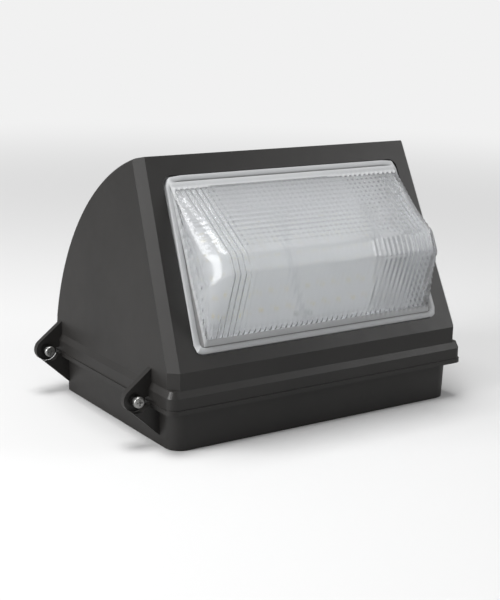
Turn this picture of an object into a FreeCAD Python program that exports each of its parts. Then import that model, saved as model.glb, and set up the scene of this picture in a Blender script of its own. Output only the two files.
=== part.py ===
import FreeCAD, Part
import math
import os

import Sketcher

# Wall pack light: a die-cast box that bolts flat to a wall, closed by a deep die-cast hood
# that swings on two lugs at its left side and carries a prismatic glass in its sloped front.
# Frame: origin at the centre of the wall face, X to the right, Y towards the curved roof of
# the hood, Z out from the wall. The hinge pins run along Y at the left.
# Slope frame: X as above, Y up the sloped front from its foot, Z out of the slope.

SIZES = {
    # back box
    "parting_height": 44.0,         # wall face to the plane where box and hood meet
    "box_width": 347.0,             # outside of the walls under the lip
    "box_depth": 234.0,
    "box_draft": 1.6,               # lean of the walls, in degrees
    "box_corner": 16.0,
    "box_wall": 4.0,
    "box_floor": 4.0,
    "lip_out": 8.5,                 # lip round the mouth, out from the wall
    "lip_thick": 4.5,
    "lip_corner": 9.0,
    "gasket_width": 4.0,
    "gasket_deep": 3.0,
    "gasket_from_edge": 3.5,        # gasket's middle, out from the inner edge of the mouth
    "gasket_side_gap": 0.2,
    # holes and hubs of the back box
    "mount_across": 280.0,
    "mount_along": 150.0,
    "mount_hole": 3.3,
    "mount_boss": 9.0,
    "mount_boss_height": 6.0,
    "outlet_box_pitch": 89.0,
    "outlet_box_hole": 2.7,
    "conduit_radius": 9.9,
    "hub_radius": 15.0,
    "hub_length": 14.0,
    "side_hub_height": 22.0,
    "plug_gap": 0.05,
    "plug_head": 13.0,
    "plug_head_thick": 4.0,
    "plug_seal_thick": 1.5,
    # hood
    "flange_in": 1.0,               # flange, in from the edge of the lip under it
    "flange_corner": 9.0,
    "flange_height": 11.5,
    "flange_slope_height": 6.5,
    "flange_step": 3.0,             # from the flange's face in to the hood's wall
    "hood_top_width": 334.0,
    "hood_height": 268.0,
    "foot_height": 79.0,            # where the upright front wall turns into the slope
    "ridge_back": 92.0,             # from the flange's front face back to the ridge
    "roof_radius": 212.0,
    "roof_end_height": 64.0,
    "ridge_mitre": 0.85,            # inner ridge, down the slope, per wall thickness
    "hood_wall": 3.5,
    "bevel": 8.5,
    "roof_round": 3.0,
    # hinge
    "hinge_out": 15.0,              # pin axis, out from the flange's side face
    "hinge_rise": 3.0,              # pin axis, above the parting plane
    "knuckle_radius": 11.5,
    "lug_thick": 6.2,
    "hinge_washer_thick": 0.8,
    "hinge_washer_radius": 6.5,
    "front_lug": -90.0,             # front face of each lug
    "rear_lug": 101.0,
    "lug_top_height": 77.0,
    "lug_foot_height": 9.0,
    "pin_radius": 3.0,
    "pin_clearance": 0.05,
    "pin_head": 5.6,
    "pin_head_height": 3.4,
    "nut_radius": 5.6,
    "nut_height": 5.0,
    "nut_gap": 0.2,
    # closing screws
    "closing_out": 10.0,            # screw axis, out from the flange's side face
    "closing_front": -48.0,
    "closing_rear": 62.0,
    "closing_boss": 8.0,
    "closing_boss_deep": 26.0,
    "web_share": 1.4,               # width of a web, in radii of its boss
    "web_under_groove": 1.0,
    "closing_radius": 2.5,
    "closing_clearance": 0.6,
    "closing_well": 5.4,            # radius of the room for the retaining ring
    "closing_well_deep": 14.0,
    "closing_length": 33.0,
    "closing_head": 5.2,
    "closing_head_height": 4.5,
    "closing_ring": 4.6,
    "closing_ring_thick": 0.9,
    "closing_ring_drop": 24.0,      # under the screw's head
    # glass and what holds it
    "glass_foot": 14.5,             # lower edge of the rim, up the slope from its foot
    "glass_length": 173.5,
    "glass_foot_width": 295.0,
    "glass_top_width": 287.0,
    "glass_corner": 9.0,
    "glass_proud": 2.0,
    "glass_rim": 6.5,
    "glass_flange": 7.0,
    "glass_flange_thick": 5.0,
    "glass_wall": 5.5,
    "glass_gap": 1.0,
    "crest_low": 76.0,              # the two folds of the crest, up the slope from its foot
    "crest_high": 96.0,
    "crest_height": 53.0,
    "crest_half_end": 1.0,          # how far the ends lean in, each, at the crest
    "glass_round": 9.4,             # cut off the ends of the crest
    "lens_gasket_thick": 2.0,
    "clip_length": 14.0,
    "clip_width": 12.0,
    "clip_thick": 1.2,
    "clip_boss": 4.0,
    "clip_from_glass": 0.4,         # from the edge of the glass to the nearest side of a boss
    "clip_spread": 55.0,            # from the middle clip of each side to the next
    "clip_top_spread": 70.0,
    "clip_screw": 1.9,
    "clip_screw_length": 7.0,
    "clip_screw_head": 3.6,
    "clip_screw_head_height": 2.2,
    # reflector pan
    "pan_thick": 1.0,
    "pan_inset": 3.0,               # rim of the pan, in from the edge of the glass flange
    "pan_deep": 14.5,
    "pan_window_width": 234.0,
    "pan_window_low": 34.0,
    "pan_window_high": 146.0,
    "pan_tab": 9.0,
    # light source
    "carrier_deep": 30.0,           # face of the carrier, behind the slope
    "carrier_thick": 2.5,
    "carrier_width": 250.0,
    "carrier_low": 12.0,
    "carrier_high": 152.0,
    "carrier_leg": 30.0,
    "carrier_foot": 20.0,
    "post_radius": 6.0,
    "post_height": 16.0,
    "board_width": 110.0,
    "board_length": 102.0,
    "board_low": 39.0,
    "board_thick": 1.6,
    "board_apart": 5.0,
    "board_corner": 5.0,            # board screw, in from the edges of the board
    "board_screw_length": 4.1,
    "chip_side": 3.4,
    "chip_thick": 0.9,
    "chip_pitch_across": 17.5,
    "chip_pitch_along": 18.5,
    "small_screw": 1.5,
    "small_screw_head": 2.8,
    "small_screw_head_height": 1.8,
    # driver and wiring
    "driver_length": 180.0,
    "driver_width": 60.0,
    "driver_height": 33.0,
    "driver_middle": 58.0,          # its centre line, towards the roof side
    "driver_cap": 7.0,
    "driver_foot": 12.0,
    "driver_foot_thick": 2.5,
    "driver_pad_height": 3.0,
    "driver_round": 3.0,
    "terminal_x": 60.0,
    "terminal_y": -16.0,
    "terminal_length": 34.0,
    "terminal_width": 18.0,
    "terminal_height": 15.0,
    "terminal_wing": 6.0,
    "terminal_wing_thick": 4.0,
    "ground_x": -135.0,
    "ground_y": 20.0,
    "ground_boss": 5.0,
    "ground_boss_height": 8.0,
    "ground_ring_thick": 1.0,
    "pole_deep": 4.0,               # wells for the screws of the terminal block
    "pole_gap": 0.2,
    "pole_screw_length": 6.0,
    "pole_entry": 10.0,
    "lead_radius": 1.5,
    "lead_height": 22.0,
    "lead_apart": 8.0,
    "lead_reach": 23.0,             # how far the leads stand out before they turn
    "lane_apart": 10.0,
    "lane_gap": 4.0,                # from the driver to the nearer lead
    "lead_in": 22.0,
}
MOUNT_SIDES = (-1, 1)
CHIP_COLUMNS = 6
CHIP_ROWS = 5
CLIP_STEPS = (-1, 0, 1)
SHEET_NAME = "Sizes"

document = FreeCAD.newDocument("wall_pack_light")
sheet = document.addObject("Spreadsheet::Sheet", SHEET_NAME)
for row, (alias, number) in enumerate(SIZES.items(), start=1):
    sheet.set("A%d" % row, str(number))
    sheet.setAlias("A%d" % row, alias)
document.recompute()

Vector = FreeCAD.Vector
Rotation = FreeCAD.Rotation
Placement = FreeCAD.Placement


class Size:
    """A number worked out from the sheet, kept with the expression that leads to it."""

    def __init__(self, value, text):
        self.value = value
        self.text = text

    def __add__(self, other):
        other = as_size(other)
        return Size(self.value + other.value, "(%s + %s)" % (self.text, other.text))

    def __sub__(self, other):
        other = as_size(other)
        return Size(self.value - other.value, "(%s - %s)" % (self.text, other.text))

    def __mul__(self, other):
        other = as_size(other)
        return Size(self.value * other.value, "(%s * %s)" % (self.text, other.text))

    def __truediv__(self, other):
        other = as_size(other)
        return Size(self.value / other.value, "(%s / %s)" % (self.text, other.text))

    def __neg__(self):
        return Size(-self.value, "(0 - %s)" % self.text)

    def root(self):
        return Size(math.sqrt(self.value), "sqrt(%s)" % self.text)


def as_size(number):
    return number if isinstance(number, Size) else Size(float(number), "%.9g" % number)


def size(alias):
    return Size(float(sheet.get(alias)), "%s.%s" % (SHEET_NAME, alias))


def bind(thing, prop, amount):
    thing.setExpression(prop, as_size(amount).text)


def put(thing, x=0, y=0, z=0, rotation=None):
    """Place a thing at a point whose coordinates follow the sheet."""
    thing.Placement = Placement(Vector(), rotation or Rotation())
    for axis, amount in zip("xyz", (x, y, z)):
        bind(thing, "Placement.Base.%s" % axis, amount)
    return thing


UP = Rotation()
DOWN = Rotation(Vector(1, 0, 0), 180)
TO_RIGHT = Rotation(Vector(0, 1, 0), 90)
TO_BACK = Rotation(Vector(1, 0, 0), -90)
TO_FRONT = Rotation(Vector(1, 0, 0), 90)
SIDE_ON = Rotation(Vector(1, 1, 1), 120)

# lengths that several pieces share
parting = size("parting_height")
box_half_x = size("box_width") / 2
box_half_y = size("box_depth") / 2
mouth_half_x = box_half_x - size("box_wall")
mouth_half_y = box_half_y - size("box_wall")
lip_half_x = box_half_x + size("lip_out")
lip_half_y = box_half_y + size("lip_out")
flange_half_x = lip_half_x - size("flange_in")
flange_half_y = lip_half_y - size("flange_in")
flange_top = parting + size("flange_height")
wall_half_x = flange_half_x - size("flange_step")
wall_half_y = flange_half_y - size("flange_step")
hinge_x = -(flange_half_x + size("hinge_out"))
hinge_z = parting + size("hinge_rise")
closing_x = flange_half_x + size("closing_out")
ridge_y = size("ridge_back") - flange_half_y
foot_y = -wall_half_y

# the slope's own frame
slope_run = ridge_y - foot_y
slope_rise = size("hood_height") - size("foot_height")
slope_length = (slope_run * slope_run + slope_rise * slope_rise).root()
slope_cos = slope_run / slope_length
slope_sin = slope_rise / slope_length
SLOPE_TURN = Rotation(Vector(1, 0, 0), math.degrees(math.atan2(slope_rise.value, slope_run.value)))


def on_slope(along, out):
    """Y and Z of a point given by its distance up the slope and out of it."""
    along, out = as_size(along), as_size(out)
    return (foot_y + along * slope_cos - out * slope_sin,
            size("foot_height") + along * slope_sin + out * slope_cos)


def to_slope(thing):
    """Move a thing that was made in the slope frame to its place."""
    return put(thing, 0, foot_y, size("foot_height"), SLOPE_TURN)


# ---- outlines ------------------------------------------------------------------------

def outline_on(plane, name, offset=0):
    """A sketch parallel to the XY, XZ or YZ plane."""
    turn, axis = {"XY": (UP, "z"), "XZ": (TO_FRONT, "y"), "YZ": (SIDE_ON, "x")}[plane]
    outline = document.addObject("Sketcher::SketchObject", name)
    places = {"x": 0, "y": 0, "z": 0, axis: offset}
    return put(outline, places["x"], places["y"], places["z"], turn)


def body_outline(body, name, offset=0, plane="XY"):
    """A sketch of a body, attached to one of its origin planes."""
    outline = body.newObject("Sketcher::SketchObject", name)
    support = [face for face in body.Origin.OriginFeatures if face.Role == plane + "_Plane"][0]
    outline.AttachmentSupport = [(support, "")]
    outline.MapMode = "FlatFace"
    bind(outline, "AttachmentOffset.Base.z", offset)
    return outline


def constrain(outline, amount, kind, *where):
    outline.addConstraint(Sketcher.Constraint(kind, *where, amount.value))
    bind(outline, "Constraints[%d]" % (outline.ConstraintCount - 1), amount)


def hold(outline, curve, end, x, y):
    """Tie a point of an outline to its distances from the origin."""
    for amount, kind, axis in ((as_size(x), "DistanceX", -2), (as_size(y), "DistanceY", -1)):
        if abs(amount.value) < 1e-9:
            outline.addConstraint(Sketcher.Constraint("PointOnObject", curve, end, axis))
        else:
            constrain(outline, amount, kind, -1, 1, curve, end)


def polygon(outline, points):
    points = [(as_size(x), as_size(y)) for x, y in points]
    first = outline.GeometryCount
    count = len(points)
    for index in range(count):
        start, end = points[index], points[(index + 1) % count]
        outline.addGeometry(Part.LineSegment(Vector(start[0].value, start[1].value, 0),
                                             Vector(end[0].value, end[1].value, 0)), False)
    for index in range(count):
        joint = (first + index, 2, first + (index + 1) % count, 1)
        outline.addConstraint(Sketcher.Constraint("Coincident", *joint))
        hold(outline, first + index, 1, *points[index])
    return outline


def circle(outline, x, y, radius):
    x, y, radius = as_size(x), as_size(y), as_size(radius)
    ring = Part.Circle(Vector(x.value, y.value, 0), Vector(0, 0, 1), radius.value)
    index = outline.addGeometry(ring, False)
    constrain(outline, radius, "Radius", index)
    hold(outline, index, 3, x, y)
    return outline


def rounded_rectangle(outline, half_x, half_y, radius):
    """A rectangle about the origin with four equal rounded corners."""
    half_x, half_y, radius = as_size(half_x), as_size(half_y), as_size(radius)
    corner_x, corner_y = half_x - radius, half_y - radius
    corners = ((1, -1, -90), (1, 1, 0), (-1, 1, 90), (-1, -1, 180))
    arcs, sides = [], []
    for across, along, start in corners:
        centre = Vector(across * corner_x.value, along * corner_y.value, 0)
        ring = Part.Circle(centre, Vector(0, 0, 1), radius.value)
        turned = math.radians(start)
        arc = Part.ArcOfCircle(ring, turned, turned + math.pi / 2)
        arcs.append(outline.addGeometry(arc, False))
    for index in range(4):
        start = outline.Geometry[arcs[index]].EndPoint
        end = outline.Geometry[arcs[(index + 1) % 4]].StartPoint
        sides.append(outline.addGeometry(Part.LineSegment(start, end), False))
    for index in range(4):
        after = arcs[(index + 1) % 4]
        outline.addConstraint(Sketcher.Constraint("Tangent", arcs[index], 2, sides[index], 1))
        outline.addConstraint(Sketcher.Constraint("Tangent", sides[index], 2, after, 1))
        if index:
            outline.addConstraint(Sketcher.Constraint("Equal", arcs[0], arcs[index]))
    constrain(outline, radius, "Radius", arcs[0])
    for (across, along, start), arc in zip(corners, arcs):
        hold(outline, arc, 3, corner_x * across, corner_y * along)
    return outline


def moved_outline(name, source, amount, round_corners=False):
    """An outline set off from another one, outwards when the amount is positive."""
    copy = document.addObject("Part::Offset2D", name)
    copy.Source = source
    copy.Join = 0 if round_corners else 2
    bind(copy, "Value", amount)
    return copy


# ---- solids --------------------------------------------------------------------------

def prism(name, outline, length, taper=0, middle=False):
    """The solid that an outline sweeps along its own normal."""
    solid = document.addObject("Part::Extrusion", name)
    solid.Base = outline
    solid.DirMode = "Normal"
    solid.Solid = True
    solid.FaceMakerClass = "Part::FaceMakerBullseye"
    solid.Symmetric = middle
    bind(solid, "LengthFwd", length)
    if taper:
        bind(solid, "TaperAngle", taper)
    return solid


def block(name, length, width, height, x=0, y=0, z=0, rotation=None):
    solid = document.addObject("Part::Box", name)
    bind(solid, "Length", length)
    bind(solid, "Width", width)
    bind(solid, "Height", height)
    return put(solid, x, y, z, rotation)


def rod(name, radius, length, x=0, y=0, z=0, rotation=None):
    solid = document.addObject("Part::Cylinder", name)
    bind(solid, "Radius", radius)
    bind(solid, "Height", length)
    return put(solid, x, y, z, rotation)


def join(name, things):
    solid = document.addObject("Part::MultiFuse", name)
    solid.Shapes = things
    solid.Refine = True
    return solid


def shared(name, things):
    """What all the things have in common."""
    solid = things[0]
    for number, thing in enumerate(things[1:], start=1):
        both = document.addObject("Part::Common", "%s_%d" % (name, number))
        both.Base = solid
        both.Tool = thing
        both.Refine = True
        solid = both
    return solid


def cut(name, base, tools):
    solid = document.addObject("Part::Cut", name)
    solid.Base = base
    solid.Tool = tools[0] if len(tools) == 1 else join(name + "_tools", tools)
    solid.Refine = True
    return solid


def group(name, things):
    several = document.addObject("Part::Compound", name)
    several.Links = things
    return several


def made(name, shape):
    """A solid whose shape is worked out here from the sheet's numbers."""
    solid = document.addObject("Part::Feature", name)
    solid.Shape = shape
    return solid


def picked_edges(thing, test):
    """Numbers of the edges of a thing that pass a test."""
    return [number for number, edge in enumerate(thing.Shape.Edges, start=1) if test(edge)]


def rounded(name, base, amount, test):
    document.recompute()
    solid = document.addObject("Part::Fillet", name)
    solid.Base = base
    reach = as_size(amount).value
    solid.Edges = [(number, reach, reach) for number in picked_edges(base, test)]
    return solid


def tapered(name, low, high):
    """A flat-faced solid between two polygons that have the same number of corners."""
    low = [Vector(*[as_size(part).value for part in point]) for point in low]
    high = [Vector(*[as_size(part).value for part in point]) for point in high]
    faces = [Part.Face(Part.makePolygon(ring + ring[:1])) for ring in (low, high)]
    for index in range(len(low)):
        after = (index + 1) % len(low)
        ring = [low[index], low[after], high[after], high[index], low[index]]
        faces.append(Part.Face(Part.makePolygon(ring)))
    solid = Part.Solid(Part.Shell(faces))
    solid.fix(1e-6, 1e-6, 1e-6)
    return made(name, solid if solid.Volume > 0 else solid.reversed())


def pad(body, outline, length, taper=0, reverse=False):
    feature = body.newObject("PartDesign::Pad", outline.Name + "_pad")
    feature.Profile = outline
    feature.Reversed = reverse
    bind(feature, "Length", length)
    if taper:
        bind(feature, "TaperAngle", taper)
    return feature


def pocket(body, outline, depth, taper=0, reverse=False):
    document.recompute()
    before = body.Shape.Volume
    feature = body.newObject("PartDesign::Pocket", outline.Name + "_pocket")
    feature.Profile = outline
    feature.Reversed = reverse
    bind(feature, "Length", depth)
    if taper:
        bind(feature, "TaperAngle", taper)
    document.recompute()
    if not body.Shape.Volume < before - 1e-6:
        raise ValueError("%s removed nothing" % feature.Name)
    return feature


def screw(name, radius, length, head, head_height, x, y, z, rotation=None):
    """A pan-head screw with a cross recess; its head stands on the given point."""
    radius, length = as_size(radius), as_size(length)
    head, head_height = as_size(head), as_size(head_height)
    shank = rod(name + "_shank", radius, length, z=-length)
    top = rod(name + "_top", head, head_height)
    pin = join(name + "_pin", [shank, top])
    rim = head_height.value
    pan = rounded(name + "_pan", pin, head_height * 0.45,
                  lambda edge: edge.BoundBox.ZMin > rim - 1e-6)
    arm, slot, depth = head * 1.1, head * 0.22, head_height * 0.55
    arms = [block(name + "_recess_%d" % turn, width, breadth, depth, -width / 2, -breadth / 2,
                  head_height - depth)
            for turn, (width, breadth) in enumerate(((arm, slot), (slot, arm)))]
    return put(cut(name, pan, arms), x, y, z, rotation)


def tube(name, points, radius):
    """A round lead through points, with an arc at each turn."""
    spots = [Vector(*point) for point in points]
    edges, start = [], spots[0]
    for before, corner, after in zip(spots, spots[1:], spots[2:]):
        back, ahead = before - corner, after - corner
        turn = math.pi - back.getAngle(ahead)
        reach = 0.45 * min(back.Length, ahead.Length)
        print("%s bend %.1f" % (name, reach / math.tan(turn / 2)))
        back.normalize()
        ahead.normalize()
        entry, leave = corner + back * reach, corner + ahead * reach
        inner = (back + ahead).normalize()
        depth = reach / math.sin(turn / 2) - reach / math.tan(turn / 2)
        middle = corner + inner * depth
        edges.append(Part.LineSegment(start, entry).toShape())
        edges.append(Part.Arc(entry, middle, leave).toShape())
        start = leave
    edges.append(Part.LineSegment(start, spots[-1]).toShape())
    path = Part.Wire(edges)
    ring = Part.Wire(Part.Circle(spots[0], spots[1] - spots[0], radius).toShape())
    solid = path.makePipeShell([ring], True, False)
    wanted = math.pi * radius * radius * path.Length
    if abs(solid.Volume / wanted - 1) > 0.02:
        raise ValueError("%s has the wrong volume" % name)
    return made(name, solid)


nodes = {}


def keep(label, thing):
    """List a finished sub-part under the name of its file."""
    thing.Label = label
    nodes[label] = thing
    return thing


# ---- back box ------------------------------------------------------------------------
# A die-cast tray: drafted walls, a lip round its mouth with a groove for the gasket, hubs
# for conduit in the floor, the right wall and the roof-side wall, and bosses for screws.

box = document.addObject("PartDesign::Body", "back_box_body")
draft = size("box_draft")
draft_inset = parting * math.tan(math.radians(draft.value))
outline = rounded_rectangle(body_outline(box, "walls"), box_half_x - draft_inset,
                            box_half_y - draft_inset, size("box_corner"))
pad(box, outline, parting, draft)
outline = rounded_rectangle(body_outline(box, "lip", parting - size("lip_thick")), lip_half_x,
                            lip_half_y, size("lip_corner"))
pad(box, outline, size("lip_thick"))
outline = rounded_rectangle(body_outline(box, "mouth", parting), mouth_half_x, mouth_half_y,
                            size("box_corner") - size("box_wall"))
pocket(box, outline, parting - size("box_floor"), -draft)

posts_x = size("carrier_width") / 2 - size("carrier_leg") / 2
low_leg_y = on_slope(size("carrier_low"), -size("carrier_deep") - size("carrier_thick"))[0]
high_leg_y = on_slope(size("carrier_high"), -size("carrier_deep") - size("carrier_thick"))[0]
posts_y = [leg + size("carrier_foot") / 2 for leg in (low_leg_y, high_leg_y)]
driver_screw_x = size("driver_length") / 2 + size("driver_cap") + size("driver_foot") / 2
mount_x, mount_y = size("mount_across") / 2, size("mount_along") / 2
terminal_screw_x = size("terminal_length") / 2 + size("terminal_wing") / 2

floor_bosses = (
    ("mount_bosses", size("mount_boss"), size("mount_boss_height"),
     [(mount_x * side, mount_y * end) for side in MOUNT_SIDES for end in MOUNT_SIDES]),
    ("carrier_posts", size("post_radius"), size("post_height"),
     [(posts_x * side, y) for side in MOUNT_SIDES for y in posts_y]),
    ("driver_pads", size("post_radius"), size("driver_pad_height"),
     [(driver_screw_x * side, size("driver_middle")) for side in MOUNT_SIDES]),
    ("ground_boss", size("ground_boss"), size("ground_boss_height"),
     [(size("ground_x"), size("ground_y"))]),
    ("outlet_hub", size("hub_radius"), size("hub_length") - size("box_floor"), [(0, 0)]),
)
for name, radius, height, places in floor_bosses:
    outline = body_outline(box, name, size("box_floor"))
    for x, y in places:
        circle(outline, x, y, radius)
    pad(box, outline, height)

floor_holes = (
    ("mount_holes", size("mount_hole"), 0, size("box_floor") + size("mount_boss_height"),
     [(mount_x * side, mount_y * end) for side in MOUNT_SIDES for end in MOUNT_SIDES]),
    ("outlet_box_holes", size("outlet_box_hole"), 0, size("box_floor"),
     [(size("outlet_box_pitch") / 2 * side, 0) for side in MOUNT_SIDES]),
    ("outlet_hole", size("conduit_radius"), 0, size("hub_length"), [(0, 0)]),
    ("post_holes", size("small_screw") + size("plug_gap"), size("box_floor"), size("post_height"),
     [(posts_x * side, y) for side in MOUNT_SIDES for y in posts_y]),
    ("driver_holes", size("small_screw") + size("plug_gap"), size("box_floor") / 2,
     size("driver_pad_height") + size("box_floor") / 2,
     [(driver_screw_x * side, size("driver_middle")) for side in MOUNT_SIDES]),
    ("terminal_holes", size("small_screw") + size("plug_gap"), size("box_floor") / 2,
     size("box_floor") / 2,
     [(size("terminal_x") + terminal_screw_x * side, size("terminal_y"))
      for side in MOUNT_SIDES]),
    ("ground_hole", size("small_screw") + size("plug_gap"), size("box_floor"),
     size("ground_boss_height"), [(size("ground_x"), size("ground_y"))]),
)
for name, radius, low, height, places in floor_holes:
    outline = body_outline(box, name, low)
    for x, y in places:
        circle(outline, x, y, radius)
    pocket(box, outline, height, reverse=True)

gasket_half_x = mouth_half_x + size("gasket_from_edge")
gasket_half_y = mouth_half_y + size("gasket_from_edge")
mouth_corner = size("box_corner") - size("box_wall")
gasket_corner = mouth_corner + size("gasket_from_edge")


def ring_outline(outline, half_width):
    """Two rounded rectangles, as far out and in from the gasket's middle as asked."""
    for reach in (half_width, -half_width):
        rounded_rectangle(outline, gasket_half_x + reach, gasket_half_y + reach,
                          gasket_corner + reach)
    return outline


outline = ring_outline(body_outline(box, "groove", parting),
                       size("gasket_width") / 2 + size("gasket_side_gap"))
pocket(box, outline, size("gasket_deep"))

# hubs for conduit inside the right wall and the roof-side wall
side_hub = rod("side_hub", size("hub_radius"), size("hub_length"),
               box_half_x - size("hub_length") - draft_inset, 0, size("side_hub_height"), TO_RIGHT)
roof_hub = rod("roof_hub", size("hub_radius"), size("hub_length"),
               0, box_half_y - size("hub_length") - draft_inset, size("side_hub_height"), TO_BACK)
side_hole = rod("side_hole", size("conduit_radius"), size("box_wall") * 8,
                box_half_x - size("box_wall") * 6, 0, size("side_hub_height"), TO_RIGHT)
roof_hole = rod("roof_hole", size("conduit_radius"), size("box_wall") * 8,
                0, box_half_y - size("box_wall") * 6, size("side_hub_height"), TO_BACK)

# flat seats that the plugs' seals press on, square to each hub
seat_pads = [rod("side_seat", size("hub_radius"), size("box_wall"), box_half_x - size("box_wall"),
                 0, size("side_hub_height"), TO_RIGHT),
             rod("roof_seat", size("hub_radius"), size("box_wall"), 0,
                 box_half_y - size("box_wall"), size("side_hub_height"), TO_BACK)]

# screw bosses outside the right wall
closing_ys = {"front": size("closing_front"), "rear": size("closing_rear")}
closing_posts, closing_holes = [], []
for end, y in closing_ys.items():
    deep = size("closing_boss_deep")
    closing_posts.append(rod("closing_post_" + end, size("closing_boss"), deep, closing_x, y,
                             parting - deep))
    web_half = size("closing_boss") * size("web_share") / 2
    web_top = size("gasket_deep") + size("web_under_groove")
    webs = (("wall", box_half_x - size("box_wall") / 2, parting - deep, deep - web_top),
            ("lip", lip_half_x - size("web_under_groove"), parting - web_top, web_top))
    for label, start, low, height in webs:
        closing_posts.append(block("closing_web_%s_%s" % (label, end), closing_x - start,
                                   web_half * 2, height, start, y - web_half, low))
    closing_holes.append(rod("closing_hole_" + end,
                             size("closing_radius") + size("closing_clearance"), deep, closing_x,
                             y, parting - deep + size("box_floor")))
    closing_holes.append(rod("closing_well_" + end, size("closing_well"),
                             size("closing_well_deep") + 1, closing_x, y,
                             parting - size("closing_well_deep")))


# hinge lugs
def lug(name, tip_x, tip_z, edge_z, front, step=None):
    """A plate round the pin that runs out to a tip on the wall above or below it."""
    centre = Vector(hinge_x.value, 0, hinge_z.value)
    radius = size("knuckle_radius").value
    tip = Vector(tip_x.value, 0, tip_z.value)
    reach = tip - centre
    side = 1 if reach.z > 0 else -1
    lean = math.acos(radius / reach.Length)
    aim = math.atan2(reach.z, reach.x) + side * lean
    touch = centre + Vector(math.cos(aim), 0, math.sin(aim)) * radius
    inside = Vector(centre.x, 0, edge_z.value)
    corners = [touch, tip, Vector(tip.x, 0, edge_z.value), inside, centre, touch]
    if step:
        step_x, step_z = step
        corners[2:3] = [Vector(tip.x, 0, step_z.value), Vector(step_x.value, 0, step_z.value),
                        Vector(step_x.value, 0, edge_z.value)]
    web = Part.Face(Part.makePolygon(corners))
    disc = Part.Face(Part.Wire(Part.Circle(centre, Vector(0, 1, 0), radius).toShape()))
    plate = web.fuse(disc).removeSplitter()
    thick = Vector(0, size("lug_thick").value, 0)
    plate.translate(Vector(0, front.value, 0))
    return made(name, plate.Faces[0].extrude(thick))


lug_fronts = {"front": size("front_lug"), "rear": size("rear_lug")}
lug_pitch = size("lug_thick") + size("hinge_washer_thick")
box_lugs, hood_lugs, pin_holes = [], [], []
for end, front in lug_fronts.items():
    foot_x = -(box_half_x - size("box_wall") / 2)
    box_lugs.append(lug("box_lug_" + end, foot_x, size("lug_foot_height"),
                        parting - size("hinge_rise") / 3, front,
                        (size("web_under_groove") - lip_half_x,
                         parting - size("gasket_deep") - size("web_under_groove"))))
    tip_x = -(wall_half_x - size("hood_wall") / 2)
    hood_lugs.append(lug("hood_lug_" + end, tip_x, size("lug_top_height"),
                         hinge_z + size("hinge_rise") / 3, front + lug_pitch))
    pin_holes.append(rod("pin_hole_" + end, size("pin_radius") + size("pin_clearance"),
                         lug_pitch * 4, hinge_x, front - lug_pitch, hinge_z, TO_BACK))

box_solid = join("box_solid", [box, side_hub, roof_hub] + seat_pads + closing_posts + box_lugs)
keep("back_box", cut("box_cut", box_solid,
                     [side_hole, roof_hole] + closing_holes + pin_holes))

outline = ring_outline(outline_on("XY", "gasket_outline", parting - size("gasket_deep")),
                       size("gasket_width") / 2)
keep("box_gasket", prism("gasket_ring", outline, size("gasket_deep")))

# threaded plugs close the side hubs, each on a rubber seal
seal_out = size("plug_seal_thick")
plug_radius = size("conduit_radius") - size("plug_gap")
plugs, seals = [], []
for end, x, y, turn in (("side", box_half_x, as_size(0), TO_RIGHT),
                        ("roof", as_size(0), box_half_y, TO_BACK)):
    out_x, out_y = (1, 0) if end == "side" else (0, 1)
    shank_length = size("hub_length") + seal_out
    shank = rod("plug_shank_" + end, plug_radius, shank_length)
    head = rod("plug_head_" + end, size("plug_head"), size("plug_head_thick"), z=shank_length)
    key = document.addObject("Part::Prism", "plug_key_" + end)
    key.Polygon = 6
    bind(key, "Circumradius", plug_radius * 0.55)
    bind(key, "Height", size("plug_head_thick") + size("hub_length") / 2)
    put(key, z=shank_length - size("hub_length") / 2)
    plug = cut("plug_" + end, join("plug_whole_" + end, [shank, head]), [key])
    back = size("hub_length")
    plugs.append(put(plug, x - back * out_x, y - back * out_y, size("side_hub_height"), turn))
    washer = rod("seal_disc_" + end, size("plug_head"), seal_out)
    bore = rod("seal_bore_" + end, size("conduit_radius"), seal_out)
    seal = cut("seal_" + end, washer, [bore])
    seals.append(put(seal, x, y, size("side_hub_height"), turn))
keep("conduit_plugs", group("plug_pair", plugs))
keep("conduit_plug_seals", group("seal_pair", seals))

# hinge pins: screws through each pair of lugs, with a washer between and a nut behind
pins, washers, nuts = [], [], []
pin_length = lug_pitch * 2 + size("nut_gap") + size("nut_height")
for end, front in lug_fronts.items():
    pins.append(screw("hinge_pin_" + end, size("pin_radius"), pin_length, size("pin_head"),
                      size("pin_head_height"), hinge_x, front, hinge_z, TO_FRONT))
    disc = rod("washer_disc_" + end, size("hinge_washer_radius"), size("hinge_washer_thick"))
    bore = rod("washer_bore_" + end, size("pin_radius") + size("pin_clearance"),
               size("hinge_washer_thick"))
    washers.append(put(cut("washer_" + end, disc, [bore]), hinge_x,
                       front + size("lug_thick"), hinge_z, TO_BACK))
    nut = document.addObject("Part::Prism", "nut_hex_" + end)
    nut.Polygon = 6
    bind(nut, "Circumradius", size("nut_radius"))
    bind(nut, "Height", size("nut_height"))
    thread = rod("nut_thread_" + end, size("pin_radius") + size("pin_clearance"),
                 size("nut_height"))
    nuts.append(put(cut("nut_" + end, nut, [thread]), hinge_x,
                    front + lug_pitch + size("lug_thick") + size("nut_gap"), hinge_z, TO_BACK))
keep("hinge_pins", group("pin_pair", pins))
keep("hinge_washers", group("washer_pair", washers))
keep("hinge_nuts", group("nut_pair", nuts))


# ---- hood ----------------------------------------------------------------------------
# A die-cast shell: a flange that covers the lip of the box, upright lower walls, tapered
# sides, a sloped front with bevelled side edges and a round roof.

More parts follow.
